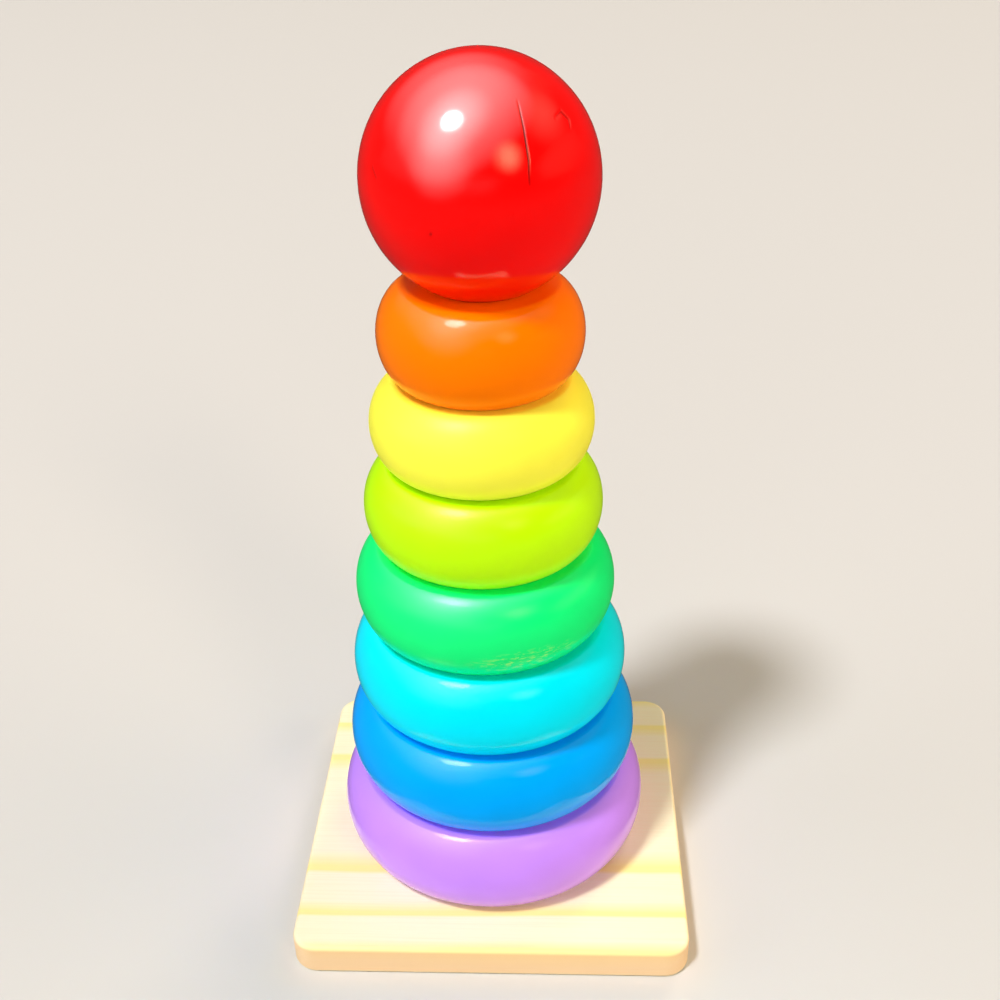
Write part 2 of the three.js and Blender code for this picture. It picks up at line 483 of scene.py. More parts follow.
# %% [markdown]
# ## The rings
# Each ring is turned on a lathe: flat seats above and below, a side that bulges as an oval and meets the
# seats at a visible rim, and a bore with eased edges. All seven follow one rule and differ only in width
# and thickness, so one Geometry Nodes tree makes them. First it draws the section as points, once round:
# the oval side, the two seats and the two eased rims of the bore. A closed curve would do, but evenly
# spread points blur its rims. Here points lie close beside each rim and keep it crisp.

# %% The ring's section
SIDE_ARC_POINTS = 75
EASE_ARC_POINTS = 9
SEAT_LINE_POINTS = 2
SECTION_POINTS = SIDE_ARC_POINTS + 2 * EASE_ARC_POINTS + 2 * SEAT_LINE_POINTS
RIM_ROUNDING = 0.9 * MM
QUARTER = math.pi / 2


def section_arc(tree, points, start, sweep, radii, centre):
    """A stretch of an oval in the section's plane: X is the distance from the axis, Y the height."""
    inputs = {"Resolution": points, "Radius": 1.0, "Start Angle": start, "Sweep Angle": sweep}
    unit = add_node(tree, "GeometryNodeCurveArc", inputs, mode="RADIUS").outputs["Curve"]
    spread = vector(tree, *radii, 1.0)
    inputs = {"Geometry": unit, "Translation": vector(tree, *centre), "Scale": spread}
    return add_node(tree, "GeometryNodeTransform", inputs).outputs["Geometry"]


def side_arc(tree, size):
    """The side: an oval that would run on past the seats, cut off where they are."""
    half = maths(tree, "MULTIPLY", size["Thickness"], 0.5)
    height = maths(tree, "ADD", half, size["Side Overrun"])
    rim = maths(tree, "ARCSINE", maths(tree, "DIVIDE", half, height))
    fall = maths(tree, "SUBTRACT", 1.0, maths(tree, "COSINE", rim))
    reach = maths(tree, "DIVIDE", size["Side Bulge"], fall)
    middle = maths(tree, "SUBTRACT", maths(tree, "MULTIPLY", size["Diameter"], 0.5), reach)
    start = maths(tree, "MULTIPLY", rim, -1.0)
    sweep = maths(tree, "MULTIPLY", rim, 2.0)
    return section_arc(tree, SIDE_ARC_POINTS, start, sweep, (reach, height), (middle, half))


def seat_line(tree, size, height, inwards):
    """A flat seat. Its ends keep clear of the rim and the bore, which leaves both a narrow rounding."""
    rim = maths(tree, "SUBTRACT", maths(tree, "MULTIPLY", size["Diameter"], 0.5), size["Side Bulge"])
    bore = maths(tree, "ADD", maths(tree, "MULTIPLY", size["Bore Diameter"], 0.5), size["Bore Ease"])
    outer = vector(tree, maths(tree, "SUBTRACT", rim, RIM_ROUNDING), height)
    inner = vector(tree, maths(tree, "ADD", bore, RIM_ROUNDING), height)
    ends = {"Start": outer, "End": inner} if inwards else {"Start": inner, "End": outer}
    return add_node(tree, "GeometryNodeCurvePrimitiveLine", ends).outputs["Curve"]


def ring_section(tree, size):
    """The section's points, once round. What is linked last comes first in a join."""
    ease = size["Bore Ease"]
    edge = maths(tree, "ADD", maths(tree, "MULTIPLY", size["Bore Diameter"], 0.5), ease)
    upper = maths(tree, "SUBTRACT", size["Thickness"], ease)
    stretches = [
        side_arc(tree, size),
        seat_line(tree, size, size["Thickness"], inwards=True),
        section_arc(tree, EASE_ARC_POINTS, QUARTER, QUARTER, (ease, ease), (edge, upper)),
        section_arc(tree, EASE_ARC_POINTS, 2 * QUARTER, QUARTER, (ease, ease), (edge, ease)),
        seat_line(tree, size, 0.0, inwards=False),
    ]
    together = add_node(tree, "GeometryNodeJoinGeometry")
    for stretch in reversed(stretches):
        tree.links.new(stretch, together.inputs["Geometry"])
    inputs = {"Curve": together.outputs[0]}
    return add_node(tree, "GeometryNodeCurveToPoints", inputs, mode="EVALUATED").outputs["Points"]


print("A ring's section has", SECTION_POINTS, "points")

# %% [markdown]
# Then the tree wraps a sheet of faces round the axis, as a lathe turns a profile: each row of the sheet
# takes the place of one point of the section. A swept curve would do the same, but it spreads its own
# points, and a sheet's even grid can be sanded afterwards.

# %% The ring's sheet
def wrapped_sheet(tree, size, section):
    """A sheet of faces that follows the section one way and goes round the axis the other way."""
    inputs = {"Size X": 1.0, "Size Y": 1.0}
    inputs["Vertices X"] = maths(tree, "ADD", size["Turn Steps"], 1.0)
    inputs["Vertices Y"] = SECTION_POINTS + 1
    sheet = add_node(tree, "GeometryNodeMeshGrid", inputs).outputs["Mesh"]
    place = add_node(tree, "GeometryNodeInputPosition").outputs["Position"]
    across = add_node(tree, "ShaderNodeSeparateXYZ", {"Vector": place}).outputs
    share = maths(tree, "ADD", across["Y"], 0.5)
    row = maths(tree, "ROUND", maths(tree, "MULTIPLY", share, SECTION_POINTS))
    inputs = {"Geometry": section, "Value": place, "Index": maths(tree, "MODULO", row, SECTION_POINTS)}
    sample = add_node(tree, "GeometryNodeSampleIndex", inputs, data_type="FLOAT_VECTOR")
    reach = add_node(tree, "ShaderNodeSeparateXYZ", {"Vector": sample.outputs["Value"]}).outputs
    turn = maths(tree, "MULTIPLY", across["X"], 2 * math.pi)
    x = maths(tree, "MULTIPLY", reach["X"], maths(tree, "COSINE", turn))
    y = maths(tree, "MULTIPLY", reach["X"], maths(tree, "SINE", turn))
    inputs = {"Geometry": sheet, "Position": vector(tree, x, y, reach["Y"])}
    wrapped = add_node(tree, "GeometryNodeSetPosition", inputs).outputs["Geometry"]
    inputs = {"Geometry": wrapped, "Distance": MERGE_DISTANCE}
    return add_node(tree, "GeometryNodeMergeByDistance", inputs).outputs["Geometry"]


print("A ring's sheet has", SECTION_POINTS + 1, "rows")

# %% [markdown]
# Sanding leaves the bulged side a little uneven, and play leaves dents. Both could be bumps in the paint,
# but a gloss shows real shape better. So slow noise pushes the side in and out, and a few dents are
# pressed into it. The flat seats and the bore stay true, because the pieces rest and slide on them.

# %% The ring's tree
RING_INPUTS = {
    "Diameter": "NodeSocketFloat",
    "Thickness": "NodeSocketFloat",
    "Side Bulge": "NodeSocketFloat",
    "Side Overrun": "NodeSocketFloat",
    "Bore Diameter": "NodeSocketFloat",
    "Bore Ease": "NodeSocketFloat",
    "Seat": "NodeSocketVector",
    "Turn Steps": "NodeSocketInt",
    "Waviness": "NodeSocketFloat",
    "Dent Depth": "NodeSocketFloat",
    "Dent Radius": "NodeSocketFloat",
    "Dents Per Area": "NodeSocketFloat",
    "Seed": "NodeSocketInt",
    "Paint": "NodeSocketMaterial",
}
WAVE_SCALE = 70.0
SEED_STEP = 13.7
SANDED_FROM = 0.3  # share of the bulge at which the side starts to be sanded uneven
SANDED_FULLY = 0.8


def pushed(tree, mesh, distance):
    """Moves each point along its normal."""
    normal = add_node(tree, "GeometryNodeInputNormal").outputs["Normal"]
    inputs = {0: normal, "Scale": distance}
    offset = add_node(tree, "ShaderNodeVectorMath", inputs, operation="SCALE").outputs["Vector"]
    inputs = {"Geometry": mesh, "Offset": offset}
    return add_node(tree, "GeometryNodeSetPosition", inputs).outputs["Geometry"]


def side_only(tree, size):
    """One on the bulged side and zero on the seats and in the bore."""
    place = add_node(tree, "GeometryNodeInputPosition").outputs["Position"]
    level = vector_maths(tree, "MULTIPLY", place, (1.0, 1.0, 0.0))
    reach = vector_maths(tree, "LENGTH", level, (0.0, 0.0, 0.0))
    widest = maths(tree, "MULTIPLY", size["Diameter"], 0.5)
    bulge = size["Side Bulge"]
    start = maths(tree, "SUBTRACT", widest, maths(tree, "MULTIPLY", bulge, 1 - SANDED_FROM))
    end = maths(tree, "SUBTRACT", widest, maths(tree, "MULTIPLY", bulge, 1 - SANDED_FULLY))
    return ranged(tree, reach, (start, end), (0.0, 1.0))


def ring_tree():
    tree = bpy.data.node_groups.new("turned_ring", "GeometryNodeTree")
    tree.interface.new_socket("Geometry", in_out="OUTPUT", socket_type="NodeSocketGeometry")
    for name, kind in RING_INPUTS.items():
        tree.interface.new_socket(name, in_out="INPUT", socket_type=kind)
    size = add_node(tree, "NodeGroupInput").outputs
    mesh = wrapped_sheet(tree, size, ring_section(tree, size))
    side = side_only(tree, size)

    place = add_node(tree, "GeometryNodeInputPosition").outputs["Position"]
    seed = vector(tree, maths(tree, "MULTIPLY", size["Seed"], SEED_STEP))
    spot = vector_maths(tree, "ADD", place, seed)
    wave = maths(tree, "SUBTRACT", noise_at(tree, spot, WAVE_SCALE), 0.5)
    sanding = maths(tree, "MULTIPLY", maths(tree, "MULTIPLY", wave, size["Waviness"]), side)
    mesh = pushed(tree, mesh, sanding)

    inputs = {"Mesh": mesh, "Density": size["Dents Per Area"], "Seed": size["Seed"]}
    dents = add_node(tree, "GeometryNodeDistributePointsOnFaces", inputs).outputs["Points"]
    near = add_node(tree, "GeometryNodeProximity", {0: dents}, target_element="POINTS")
    dent = (0.0, size["Dent Radius"])
    depth = ranged(tree, near.outputs["Distance"], dent, (size["Dent Depth"], 0.0))
    mesh = pushed(tree, mesh, maths(tree, "MULTIPLY", maths(tree, "MULTIPLY", depth, side), -1.0))

    inputs = {"Geometry": mesh, "Translation": size["Seat"]}
    seated = add_node(tree, "GeometryNodeTransform", inputs).outputs["Geometry"]
    real = add_node(tree, "GeometryNodeRealizeInstances", {"Geometry": seated}).outputs["Geometry"]
    painted = add_node(tree, "GeometryNodeSetMaterial", {"Geometry": real, "Material": size["Paint"]})
    add_node(tree, "NodeGroupOutput", {"Geometry": painted.outputs["Geometry"]})
    return tree


turned_ring = ring_tree()
print("The ring's tree has", len(turned_ring.nodes), "nodes")

# %% [markdown]
# The tree is used seven times. Width, thickness and place come from the frame, the section's sizes from
# what the rings share. The result of the modifier is taken as a plain mesh, which is what an export or
# another program can read.

# %% Turn the seven rings
SIDE_BULGE = 6 * MM
SIDE_OVERRUN = 0.75 * MM
BORE_DIAMETER = 22 * MM
BORE_EASE = 1.4 * MM
RING_TURN_STEPS = 220
WAVINESS = 0.1 * MM
DENT_DEPTH = 0.14 * MM
DENT_RADIUS = 1.1 * MM
DENTS_PER_AREA = 500.0


def made_by(tree, name, values):
    """A plain mesh object from a tree of Geometry Nodes."""
    holder = bpy.data.objects.new(name, bpy.data.meshes.new(name))
    scene.collection.objects.link(holder)
    modifier = holder.modifiers.new(tree.name, "NODES")
    modifier.node_group = tree
    for item in tree.interface.items_tree:
        if item.in_out == "INPUT":
            modifier[item.identifier] = values[item.name]
    evaluated = holder.evaluated_get(bpy.context.evaluated_depsgraph_get())
    mesh = bpy.data.meshes.new_from_object(evaluated)
    holder.modifiers.remove(modifier)
    holder.data = mesh
    return holder


def turn_outwards(piece):
    body = bmesh.new()
    body.from_mesh(piece.data)
    bmesh.ops.recalc_face_normals(body, faces=body.faces)
    body.to_mesh(piece.data)
    body.free()
    piece.data.shade_smooth()


def turn_ring(node, seed):
    low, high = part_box(node)
    values = {
        "Diameter": high.x - low.x,
        "Thickness": high.z - low.z,
        "Side Bulge": SIDE_BULGE,
        "Side Overrun": SIDE_OVERRUN,
        "Bore Diameter": BORE_DIAMETER,
        "Bore Ease": BORE_EASE,
        "Seat": ((low.x + high.x) / 2, (low.y + high.y) / 2, low.z),
        "Turn Steps": RING_TURN_STEPS,
        "Waviness": WAVINESS,
        "Dent Depth": DENT_DEPTH,
        "Dent Radius": DENT_RADIUS,
        "Dents Per Area": DENTS_PER_AREA,
        "Seed": seed,
        "Paint": paints[node],
    }
    ring = made_by(turned_ring, node.replace("ring", "turned_ring"), values)
    turn_outwards(ring)
    dress(ring, node, paints[node])


for ring_seed, ring_node in enumerate(n for n in PAINTS if n.startswith("ring")):
    turn_ring(ring_node, ring_seed)

# %% [markdown]
# ## The ball's marks
# The wood under the ball's paint has split a little along the grain, the paint has wrinkled beside the
# split, and there are a dent, a speck and a raised grain. They could be drawn into the colour, but then
# light would not catch on them. Each is a path on the ball here, in degrees round it and above its
# middle, with a width, a depth and a darkness. The darkness is painted shade: it darkens the paint in
# the groove, most where the groove is deepest. Columns of points stand closer together where marks lie.

# %% The ball's marks
BALL_COLUMN_DEGREES = 1.8
BALL_FINE_COLUMN_DEGREES = 0.35
BALL_FINE_ZONES = [(-60.0, -48.0), (-23.0, -17.0), (13.0, 66.0)]
MARK_TAPER = 0.4
SPLIT = [(29.5, 48.0), (27.5, 36.0), (26.5, 22.0), (25.5, 11.0)]
WRINKLE = [(49.0, 36.5), (57.0, 38.5), (60.0, 34.0), (57.0, 29.5)]
# dark is how much painted shade darkens the paint inside each groove.
BALL_MARKS = [
    dict(path=SPLIT, half_width=0.22 * MM, depth=0.15 * MM, dark=1.0),
    dict(path=WRINKLE, half_width=0.28 * MM, depth=0.18 * MM, dark=0.5),
    dict(path=[(-57.0, 15.0), (-51.0, 10.0)], half_width=0.3 * MM, depth=0.12 * MM, dark=0.35),
    dict(path=[(-20.6, -8.6), (-19.4, -9.4)], half_width=0.35 * MM, depth=0.1 * MM, dark=0.5),
    dict(path=[(16.2, 0.3), (17.0, -0.3)], half_width=0.5 * MM, depth=-0.12 * MM, dark=0.0),
]


def groove_share(path, half_width, radius, azimuth, elevation):
    """How deep a groove along a path of azimuths and elevations in degrees is here, from 0 to 1."""
    deepest = 0.0
    here = Vector((azimuth * math.cos(math.radians(elevation)), elevation))
    for number, (start, end) in enumerate(zip(path, path[1:])):
        first = Vector((start[0] * math.cos(math.radians(start[1])), start[1]))
        last = Vector((end[0] * math.cos(math.radians(end[1])), end[1]))
        run = last - first
        share = min(1.0, max(0.0, (here - first).dot(run) / run.length_squared))
        away = math.radians((here - first - run * share).length) * radius
        along = (number + share) / (len(path) - 1)
        taper = math.sin(math.pi * min(1.0, max(0.0, along))) ** MARK_TAPER
        deepest = max(deepest, taper * math.exp(-((away / half_width) ** 2)))
    return deepest


def in_fine_zone(azimuth):
    return any(first <= azimuth <= last for first, last in BALL_FINE_ZONES)


def ball_columns():
    plain = [BALL_COLUMN_DEGREES * i - 180.0 for i in range(round(360 / BALL_COLUMN_DEGREES))]
    columns = [azimuth for azimuth in plain if not in_fine_zone(azimuth)]
    for first, last in BALL_FINE_ZONES:
        count = round((last - first) / BALL_FINE_COLUMN_DEGREES)
        columns += [first + (last - first) * i / count for i in range(count + 1)]
    return sorted(columns)


print("The ball has", len(BALL_MARKS), "marks and", len(ball_columns()), "columns of points")

# %% [markdown]
# ## The ball
# The ball is turned as the rings are: a sphere with a small flat seat and a blind hole for the peg's tip.
# A sphere primitive has neither, so its profile is drawn and turned, row by row, with the marks sunk into
# it. Each point also keeps how much painted shade its groove gets, and the paint reads that number.

# %% Turn the ball
BALL_HOLE_DEPTH = 21 * MM
BALL_HOLE_STEPS = 8
BALL_EASE = 1.0 * MM
BALL_EASE_STEPS = 6
BALL_ROWS = 190
BALL_WAVE = 0.05 * MM
BALL_WAVE_SCALE = 110.0
BALL_WAVE_FADE = 20.0  # degrees above the seat over which the waves begin


def ball_inside(low_z):
    """The profile of the blind hole, from its end down to the seat."""
    bore = BORE_DIAMETER / 2
    end = low_z + BALL_HOLE_DEPTH
    profile = [(0.0, end), *line((0.0, end), (bore, end), BALL_EASE_STEPS)]
    profile += line((bore, end), (bore, low_z + BALL_EASE), BALL_HOLE_STEPS)
    return profile + arc((bore + BALL_EASE, low_z + BALL_EASE), BALL_EASE, 180, 270, BALL_EASE_STEPS)


def turn_ball():
    low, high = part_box("ball")
    radius = (high.x - low.x) / 2
    centre = Vector(((low.x + high.x) / 2, (low.y + high.y) / 2, high.z - radius))
    seat_angle = math.degrees(math.asin((low.z - centre.z) / radius))
    columns = ball_columns()

    def fade(elevation):
        return math.cos(math.radians(elevation)) * min(1.0, (elevation - seat_angle) / BALL_WAVE_FADE)

    def shares(azimuth, elevation):
        if not in_fine_zone(azimuth):
            return [0.0 for mark in BALL_MARKS]
        return [groove_share(m["path"], m["half_width"], radius, azimuth, elevation) for m in BALL_MARKS]

    def outside(azimuth, elevation):
        sink = sum(m["depth"] * share for m, share in zip(BALL_MARKS, shares(azimuth, elevation)))
        out = towards(math.radians(azimuth), math.radians(elevation))
        sink += BALL_WAVE * (1.0 + noise.noise(out * radius * BALL_WAVE_SCALE)) * fade(elevation)
        return centre + (radius - sink) * out

    rows = []
    for reach, height in ball_inside(low.z):
        axis = Vector((centre.x, centre.y, height))
        rows.append([axis + reach * towards(math.radians(a), 0.0) for a in columns])
    for step in range(BALL_ROWS + 1):
        elevation = seat_angle + (90.0 - seat_angle) * step / BALL_ROWS
        rows.append([outside(azimuth, elevation) for azimuth in columns])
    ball = sewn("turned_ball", rows)

    def darkness(point):
        out = point.co - centre
        azimuth = math.degrees(math.atan2(out.x, -out.y))
        elevation = math.degrees(math.atan2(out.z, math.hypot(out.x, out.y)))
        here = shares(azimuth, elevation)
        return max(m["dark"] * share for m, share in zip(BALL_MARKS, here))

    # Each point keeps its painted shade, the darkness of the groove it lies in.
    mark_points(ball, "groove_shade", darkness)
    dress(ball, "ball", paints["ball"])


turn_ball()

# %% [markdown]
# ## The board
# The board is flat-sawn pine, clear-lacquered, with rounded corners and softened edges. A box with a
# bevel would do for its outside, but it also has a socket for the peg and a countersunk screw hole, so
# it is sewn from loops: out along the underside, up round the edge, in along the top and down the bore.

# %% Shape the board
BOARD_CORNER = 7 * MM
BOARD_EDGE = 1.2 * MM
CORNER_STEPS = 16
SIDE_STEPS = 24
EDGE_STEPS = 8
FACE_MARGIN = 0.5 * MM
SOCKET_DIAMETER = 19.2 * MM
SOCKET_FLOOR = 4.0 * MM
SCREW_HOLE_DIAMETER = 4.4 * MM
COUNTERSINK_DIAMETER = 8.4 * MM
COUNTERSINK_TOP = 2.8 * MM
COUNTERSINK_FOOT = 0.4 * MM


def outline_directions(half):
    """Points of the board's outline as corner centre and outward direction, once round."""
    points = []
    for quarter in range(4):
        turn = QUARTER * quarter
        sign_x = 1 if quarter in (0, 3) else -1
        sign_y = 1 if quarter in (0, 1) else -1
        corner = Vector((sign_x * (half.x - BOARD_CORNER), sign_y * (half.y - BOARD_CORNER), 0.0))
        for step in range(CORNER_STEPS + 1):
            angle = turn + QUARTER * step / CORNER_STEPS
            points.append((corner, Vector((math.cos(angle), math.sin(angle), 0.0))))
        sign_x, sign_y = -sign_y, sign_x
        ahead = Vector((sign_x * (half.x - BOARD_CORNER), sign_y * (half.y - BOARD_CORNER), 0.0))
        for step in range(1, SIDE_STEPS):
            points.append((corner.lerp(ahead, step / SIDE_STEPS), points[-1][1]))
    return points


def shape_board():
    low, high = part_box("board")
    top = high.z
    outline = outline_directions((high - low) / 2)
    around = [(foot + out * BOARD_CORNER).normalized() for foot, out in outline]

    def square(inset, height):
        return [foot + out * (BOARD_CORNER - inset) + Vector((0, 0, height)) for foot, out in outline]

    def circle(diameter, height, margin=0.0):
        return [out * (diameter / 2 + margin) + Vector((0, 0, height)) for out in around]

    edge = BOARD_EDGE
    lower = arc((edge, edge), edge, 270, 180, EDGE_STEPS)
    upper = arc((edge, top - edge), edge, 180, 90, EDGE_STEPS)
    rows = [circle(COUNTERSINK_DIAMETER, 0.0), circle(COUNTERSINK_DIAMETER, 0.0, FACE_MARGIN)]
    rows += [square(edge + FACE_MARGIN, 0.0)]
    rows += [square(inset, height) for inset, height in lower + upper]
    rows += [square(edge + FACE_MARGIN, top), circle(SOCKET_DIAMETER, top, FACE_MARGIN)]
    rows += [circle(SOCKET_DIAMETER, height) for height in (top, top - FACE_MARGIN, SOCKET_FLOOR)]
    rows += [circle(SCREW_HOLE_DIAMETER, height) for height in (SOCKET_FLOOR, COUNTERSINK_TOP)]
    rows += [circle(COUNTERSINK_DIAMETER, COUNTERSINK_FOOT)]
    board = sewn("pine_board", rows, round_trip=True)
    # Lacquer and painted shade: the more a face turns sideways, the warmer and darker the pine is
    # painted.
    mark_points(board, "sawn_edge_and_shade", lambda point: 1.0 - abs(point.normal.z))
    return board


pine_board = shape_board()
print("The board's outline has", 4 * (CORNER_STEPS + SIDE_STEPS), "points")

# %% [markdown]
# ## Pine
# A flat-sawn plank cuts through the growth rings of a trunk at a slant: they are cylinders round the
# pith, which lies along X somewhere below the board. Each ring is pale and wide where the wood grew in
# spring, then slowly turns honey yellow and stops sharply. Computing the distance from the pith gives
# streaks on the faces, arcs on the ends and no seam anywhere, which an image of wood can't do. The sawn
# sides are painted warmer and darker: partly because they drink more lacquer, and partly as painted
# shade for faces that turn away from the light. The mesh says where they are.

# %% The pine's material
PITH_HEIGHT = -30 * MM
GROWTH_SPACING = 10.6 * MM
GROWTH_PHASE = 5.4 * MM
GROWTH_SWAY = 1.2 * MM
SWAY_SCALE = (9.0, 30.0, 30.0)
WOOD_FIBRE_SCALE = (25.0, 1500.0, 1500.0)
PINE_EARLY = (0.97, 0.95, 0.80)
PINE_LATE = (0.97, 0.93, 0.60)
PINE_WARM = (0.96, 0.84, 0.62)
# The sides' colour: lacquer soaked into the sawn wood, and painted shade.
PINE_EDGE_AND_SHADE = (0.91, 0.75, 0.57)
PINE_GROWTH = (
    (0.0, PINE_EARLY),
    (0.60, PINE_EARLY),
    (0.86, PINE_LATE),
    (0.94, PINE_LATE),
    (1.0, PINE_EARLY),
)
PINE_FIBRES = (0.35, 0.8)
PINE_FIBRE_SHARE = (0.0, 0.2)
PINE_EDGE_SHARE = 0.85
PINE_ROUGH_FIBRES = (0.3, 0.8)
PINE_ROUGHNESS = (0.42, 0.55)
PINE_SPECULAR = 0.12
PINE_RELIEF = 0.04 * MM
GRAIN_STRENGTH = 0.3


def growth_rings(tree):
    """Where a place lies within its growth ring, from 0 at the inside to 1 at the outside."""
    place = add_node(tree, "ShaderNodeSeparateXYZ", {"Vector": object_place(tree)}).outputs
    across = maths(tree, "POWER", place["Y"], 2.0)
    down = maths(tree, "POWER", maths(tree, "SUBTRACT", place["Z"], PITH_HEIGHT), 2.0)
    reach = maths(tree, "SQRT", maths(tree, "ADD", across, down))
    slow = noise_at(tree, object_place(tree, SWAY_SCALE))
    sway = ranged(tree, slow, (0.0, 1.0), (-GROWTH_SWAY, GROWTH_SWAY))
    swayed = maths(tree, "ADD", maths(tree, "ADD", reach, sway), GROWTH_PHASE)
    return maths(tree, "FRACT", maths(tree, "DIVIDE", swayed, GROWTH_SPACING))


def pine(name):
    material, tree, shader = new_material(name)
    ramp = add_node(tree, "ShaderNodeValToRGB", {"Fac": growth_rings(tree)})
    stops = ramp.color_ramp.elements
    stops.remove(stops[1])
    for number, (position, colour) in enumerate(PINE_GROWTH):
        stop = stops[0] if number == 0 else stops.new(position)
        stop.position = position
        stop.color = linear(colour)
    fibres = noise_at(tree, object_place(tree, WOOD_FIBRE_SCALE), detail=4.0, roughness=0.6)
    fibre_share = ranged(tree, fibres, PINE_FIBRES, PINE_FIBRE_SHARE)
    wood = mixed(tree, fibre_share, ramp.outputs["Color"], linear(PINE_WARM))
    # Soaked lacquer and painted shade darken and warm the sides.
    edge = add_node(tree, "ShaderNodeAttribute", attribute_name="sawn_edge_and_shade").outputs["Fac"]
    wood = mixed(tree, maths(tree, "MULTIPLY", edge, PINE_EDGE_SHARE), wood, linear(PINE_EDGE_AND_SHADE))
    tree.links.new(wood, shader.inputs["Base Color"])
    roughness = ranged(tree, fibres, PINE_ROUGH_FIBRES, PINE_ROUGHNESS)
    tree.links.new(roughness, shader.inputs["Roughness"])
    shader.inputs["Specular IOR Level"].default_value = PINE_SPECULAR
    relief(tree, shader, fibres, PINE_RELIEF, GRAIN_STRENGTH)
    return material


dress(pine_board, "board", pine("pine_board"))

# %% [markdown]
# ## The peg
# The peg is a plain sanded dowel with a rounded tip. It only shows when rings are lifted off. A cylinder
# would have a sharp tip and no screw hole, so it is turned from its profile as the ball is. Its grain
# runs along its length.

# %% Turn the peg
PEG_TIP = 5 * MM
PEG_CHAMFER = 0.6 * MM
PILOT_DIAMETER = 4.4 * MM
PILOT_DEPTH = 27.3 * MM
PEG_COLUMNS = 72
PEG_SIDE_STEPS = 60
PEG_TIP_STEPS = 12
PEG_END_STEPS = 6
DOWEL_STREAK_SCALE = (400.0, 400.0, 14.0)
DOWEL_PALE = (0.95, 0.87, 0.68)
DOWEL_DARK = (0.89, 0.77, 0.54)
DOWEL_STREAKS = (0.3, 0.7)
DOWEL_ROUGHNESS = (0.48, 0.58)
DOWEL_RELIEF = 0.05 * MM


def turned(name, profile, columns, centre):
    """A closed piece from a profile of distance and height pairs that starts and ends on the axis."""
    around = [towards(2 * math.pi * i / columns, 0.0) for i in range(columns)]
    rows = []
    for reach, height in profile:
        rows.append([centre + out * reach + Vector((0, 0, height)) for out in around])
    return sewn(name, rows)


def turn_peg():
    low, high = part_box("peg")
    radius = (high.x - low.x) / 2
    pilot = PILOT_DIAMETER / 2
    pilot_end = low.z + PILOT_DEPTH
    profile = [(0.0, pilot_end), (pilot, pilot_end), (pilot, low.z), (radius - PEG_CHAMFER, low.z)]
    profile += [(radius, low.z + PEG_CHAMFER)]
    profile += line((radius, low.z + PEG_CHAMFER), (radius, high.z - PEG_TIP), PEG_SIDE_STEPS)
    profile += arc((radius - PEG_TIP, high.z - PEG_TIP), PEG_TIP, 0, 90, PEG_TIP_STEPS)[1:]
    profile += line((radius - PEG_TIP, high.z), (0.0, high.z), PEG_END_STEPS)
    return turned("dowel_peg", profile, PEG_COLUMNS, Vector(((low.x + high.x) / 2, 0.0, 0.0)))


def dowel_wood(name):
    material, tree, shader = new_material(name)
    streaks = noise_at(tree, object_place(tree, DOWEL_STREAK_SCALE), detail=4.0, roughness=0.6)
    share = ranged(tree, streaks, DOWEL_STREAKS, (0.0, 1.0))
    wood = mixed(tree, share, linear(DOWEL_PALE), linear(DOWEL_DARK))
    tree.links.new(wood, shader.inputs["Base Color"])
    tree.links.new(ranged(tree, streaks, DOWEL_STREAKS, DOWEL_ROUGHNESS), shader.inputs["Roughness"])
    relief(tree, shader, streaks, DOWEL_RELIEF, GRAIN_STRENGTH)
    return material


dress(turn_peg(), "peg", dowel_wood("peg_wood"))

# %% [markdown]
# ## The screw
# A countersunk wood screw holds the peg from below, and its head shows in the underside. A cylinder with
# a cone would do for its body. Its cross recess and its thread are what make it a screw, and both are
# only loops with another radius: a plus sign in the recess, and a radius that climbs round the shank.

# %% Drive the screw
SCREW_HEAD_HEIGHT = 2.4 * MM
SCREW_HEAD_EDGE = 0.2 * MM
SCREW_CORE = 1.4 * MM
SCREW_CREST = 2.0 * MM
SCREW_PITCH = 1.8 * MM
SCREW_PLAIN_LENGTH = 6 * MM
SCREW_TIP_LENGTH = 5 * MM
SCREW_COLUMNS = 64
SCREW_ROW = 0.15 * MM
RECESS_ARM = 2.2 * MM
RECESS_HALF_WIDTH = 0.65 * MM
RECESS_DEPTH = 1.6 * MM
RECESS_TAPER = 0.5
RIDGE_HALF_WIDTH = 0.3  # of the thread, as a share of its pitch


def plus_reach(angle, arm, half_width):
    """The distance from the axis to the edge of a plus sign in this direction."""
    longer = max(abs(math.sin(angle)), abs(math.cos(angle)))
    shorter = max(min(abs(math.sin(angle)), abs(math.cos(angle))), MERGE_DISTANCE)
    return min(arm / longer, half_width / shorter)


def thread_reach(above_head, angle, length):
    """The shank's radius at a height and an angle: a ridge that climbs and runs out at the tip."""
    to_tip = min(1.0, (length - above_head) / SCREW_TIP_LENGTH)
    if above_head < SCREW_PLAIN_LENGTH:
        return SCREW_CREST * to_tip
    turn = (above_head / SCREW_PITCH - angle / (2 * math.pi)) % 1.0
    ridge = max(0.0, 1.0 - abs(turn - 0.5) / RIDGE_HALF_WIDTH)
    return (SCREW_CORE + (SCREW_CREST - SCREW_CORE) * ridge) * to_tip


